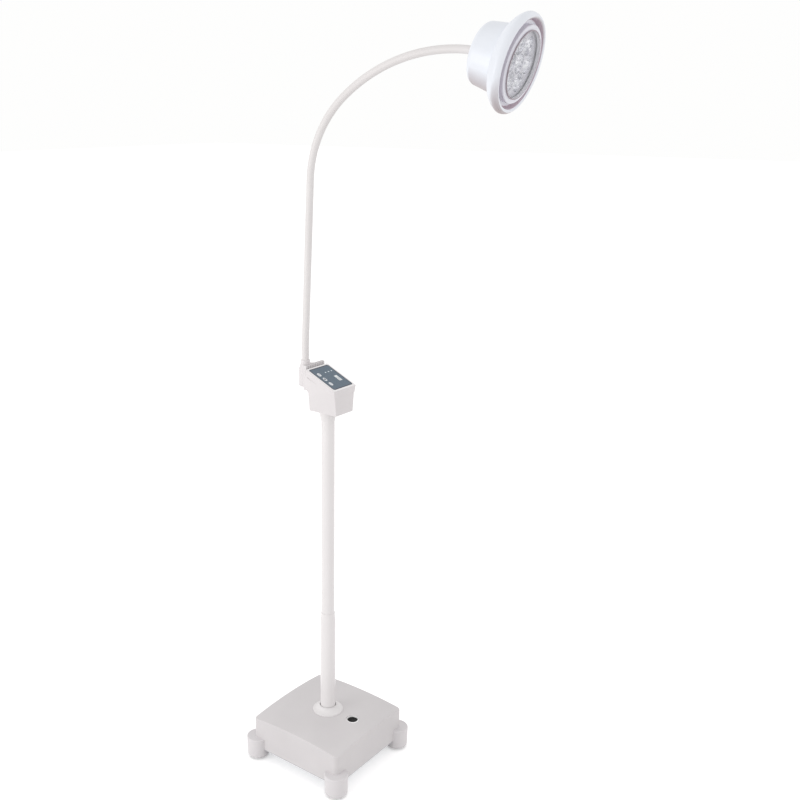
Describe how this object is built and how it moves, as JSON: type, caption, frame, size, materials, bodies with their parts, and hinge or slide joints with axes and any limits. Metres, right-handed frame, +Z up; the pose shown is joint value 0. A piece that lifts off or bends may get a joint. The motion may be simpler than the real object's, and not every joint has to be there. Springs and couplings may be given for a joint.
{
  "type": "examination lamp",
  "caption": "Mobile examination lamp: square base on hidden twin-wheel casters, telescopic pole, control box with sloping keypad, bending gooseneck and round LED head.",
  "frame": {"origin": "on the floor, on the axis of the pole", "axes": "+Z up along the pole; +X the front, which the control panel slopes down to; +Y to the left seen from behind the panel"},
  "size_m": [0.6194, 0.312, 1.7812],
  "materials": {
    "shell_white": "fine textured moulding, warm white",
    "zinc_steel": "zinc plated",
    "screw_steel": "plated",
    "ballast_iron": "as cast, painted black",
    "black_plastic": "satin",
    "board_green": "solder mask",
    "pole_enamel": "smooth enamel",
    "keypad_slate": "printed membrane, satin",
    "display_pale": "pale, gloss",
    "dot_lens": "clear tinted",
    "key_white": "satin",
    "neck_grey": "smooth light sleeve",
    "head_white": "satin moulding, cool white",
    "bezel_lavender": "satin moulding",
    "clear_glass": "clear, polished",
    "bright_reflector": "metallised bright",
    "led_yellow": "phosphor under a clear dome",
    "sink_aluminium": "milled",
    "ferrule_chrome": "polished",
    "caster_grey": "satin",
    "tyre_grey": "matte"
  },
  "bodies": {
    "base": {"base_cover": "shell_white", "base_plate": "zinc_steel", "plate_screws": "screw_steel", "ballast_block": "ballast_iron", "battery_pack": "black_plastic", "battery_strap": "zinc_steel", "charger_board": "board_green", "charge_inlet": "black_plastic", "switch_housing": "shell_white", "pole_socket": "zinc_steel", "socket_bolts": "screw_steel", "pole_flange": "shell_white", "lower_pole": "pole_enamel", "pole_collar": "pole_enamel", "glide_bush": "black_plastic", "caster_stems": "zinc_steel"},
    "rocker": {"switch_rocker": "black_plastic"},
    "glide": {"mast_glide": "black_plastic"},
    "mast": {"upper_pole": "pole_enamel", "box_collar": "pole_enamel", "box_tray": "shell_white", "box_lid": "shell_white", "box_screws": "screw_steel", "keypad_overlay": "keypad_slate", "display_window": "display_pale", "lamp_dots": "dot_lens", "control_board": "board_green", "neck_nut": "screw_steel", "neck_ferrule": "neck_grey", "neck_length_1": "neck_grey"},
    "mode_button": {"mode_key": "key_white"},
    "bright_button": {"bright_key": "key_white"},
    "power_button": {"power_key": "key_white"},
    "neck_2": {"neck_length_2": "neck_grey"},
    "neck_3": {"neck_length_3": "neck_grey"},
    "neck_4": {"neck_length_4": "neck_grey"},
    "neck_5": {"neck_length_5": "neck_grey"},
    "neck_6": {"neck_length_6": "neck_grey"},
    "neck_7": {"neck_length_7": "neck_grey"},
    "head": {"neck_length_8": "neck_grey", "head_ferrule": "ferrule_chrome", "head_nut": "screw_steel", "back_housing": "head_white", "rim_ring": "head_white", "bezel_ring": "bezel_lavender", "glass_gasket": "black_plastic", "front_glass": "clear_glass", "lens_cups": "bright_reflector", "led_board": "board_green", "led_chips": "led_yellow", "heat_sink": "sink_aluminium", "head_screws": "screw_steel"},
    "swivel_front_right": {"caster_fork_front_right": "caster_grey"},
    "wheel_front_right": {"caster_wheel_front_right": "tyre_grey"},
    "swivel_front_left": {"caster_fork_front_left": "caster_grey"},
    "wheel_front_left": {"caster_wheel_front_left": "tyre_grey"},
    "swivel_rear_right": {"caster_fork_rear_right": "caster_grey"},
    "wheel_rear_right": {"caster_wheel_rear_right": "tyre_grey"},
    "swivel_rear_left": {"caster_fork_rear_left": "caster_grey"},
    "wheel_rear_left": {"caster_wheel_rear_left": "tyre_grey"}
  },
  "joints": [
    {"name": "rocker_tilt", "type": "hinge", "parent": "base", "child": "rocker", "pos_m": [0.076, 0.004, 0.1126], "axis": [0, 1, 0], "range_deg": [0, 14]},
    {"name": "mast_slide", "type": "slide", "parent": "base", "child": "glide", "axis": [0, 0, 1], "range_m": [-0.14, 0.05]},
    {"name": "mast_turn", "type": "hinge", "parent": "glide", "child": "mast", "pos_m": [0, 0, 0.215], "axis": [0, 0, 1], "range_deg": [-170, 170]},
    {"name": "mode_press", "type": "slide", "parent": "mast", "child": "mode_button", "axis": [-0.4115, 0, -0.9114], "range_m": [0, 0.0004], "stiffness_N_per_m": 1500, "springref_m": -0.0001},
    {"name": "bright_press", "type": "slide", "parent": "mast", "child": "bright_button", "axis": [-0.4115, 0, -0.9114], "range_m": [0, 0.0004], "stiffness_N_per_m": 1500, "springref_m": -0.0001},
    {"name": "power_press", "type": "slide", "parent": "mast", "child": "power_button", "axis": [-0.4115, 0, -0.9114], "range_m": [0, 0.0004], "stiffness_N_per_m": 1500, "springref_m": -0.0001},
    {"name": "neck_bend_1", "type": "hinge", "parent": "mast", "child": "neck_2", "pos_m": [-0.06483, 0.00033, 1.14741], "axis": [-0.1045, 0.9945, 0], "range_deg": [-20, 20]},
    {"name": "neck_sway_2", "type": "hinge", "parent": "neck_2", "child": "neck_3", "pos_m": [-0.05981, 0.00086, 1.26778], "axis": [0.9936, 0.1044, -0.0419], "range_deg": [-20, 20]},
    {"name": "neck_bend_3", "type": "hinge", "parent": "neck_3", "child": "neck_4", "pos_m": [-0.0548, 0.00139, 1.38815], "axis": [-0.1045, 0.9945, 0], "range_deg": [-20, 20]},
    {"name": "neck_sway_4", "type": "hinge", "parent": "neck_4", "child": "neck_5", "pos_m": [-0.04286, 0.00264, 1.50767], "axis": [0.9554, 0.1004, -0.2777], "range_deg": [-20, 20]},
    {"name": "neck_bend_5", "type": "hinge", "parent": "neck_5", "child": "neck_6", "pos_m": [0.01686, 0.00892, 1.61071], "axis": [-0.1045, 0.9945, 0], "range_deg": [-20, 20]},
    {"name": "neck_sway_6", "type": "hinge", "parent": "neck_6", "child": "neck_7", "pos_m": [0.11473, 0.01921, 1.67924], "axis": [0.4309, 0.0453, -0.9012], "range_deg": [-20, 20]},
    {"name": "neck_bend_7", "type": "hinge", "parent": "neck_7", "child": "head", "pos_m": [0.22902, 0.03122, 1.71372], "axis": [-0.1045, 0.9945, 0], "range_deg": [-20, 20]},
    {"name": "swivel_front_right", "type": "hinge", "parent": "base", "child": "swivel_front_right", "pos_m": [0.127, -0.127, 0.04], "axis": [0, 0, 1], "continuous": true},
    {"name": "roll_front_right", "type": "hinge", "parent": "swivel_front_right", "child": "wheel_front_right", "pos_m": [0.121, -0.127, 0.016], "axis": [0, 1, 0], "continuous": true},
    {"name": "swivel_front_left", "type": "hinge", "parent": "base", "child": "swivel_front_left", "pos_m": [0.127, 0.127, 0.04], "axis": [0, 0, 1], "continuous": true},
    {"name": "roll_front_left", "type": "hinge", "parent": "swivel_front_left", "child": "wheel_front_left", "pos_m": [0.121, 0.127, 0.016], "axis": [0, 1, 0], "continuous": true},
    {"name": "swivel_rear_right", "type": "hinge", "parent": "base", "child": "swivel_rear_right", "pos_m": [-0.127, -0.127, 0.04], "axis": [0, 0, 1], "continuous": true},
    {"name": "roll_rear_right", "type": "hinge", "parent": "swivel_rear_right", "child": "wheel_rear_right", "pos_m": [-0.133, -0.127, 0.016], "axis": [0, 1, 0], "continuous": true},
    {"name": "swivel_rear_left", "type": "hinge", "parent": "base", "child": "swivel_rear_left", "pos_m": [-0.127, 0.127, 0.04], "axis": [0, 0, 1], "continuous": true},
    {"name": "roll_rear_left", "type": "hinge", "parent": "swivel_rear_left", "child": "wheel_rear_left", "pos_m": [-0.133, 0.127, 0.016], "axis": [0, 1, 0], "continuous": true}
  ]
}
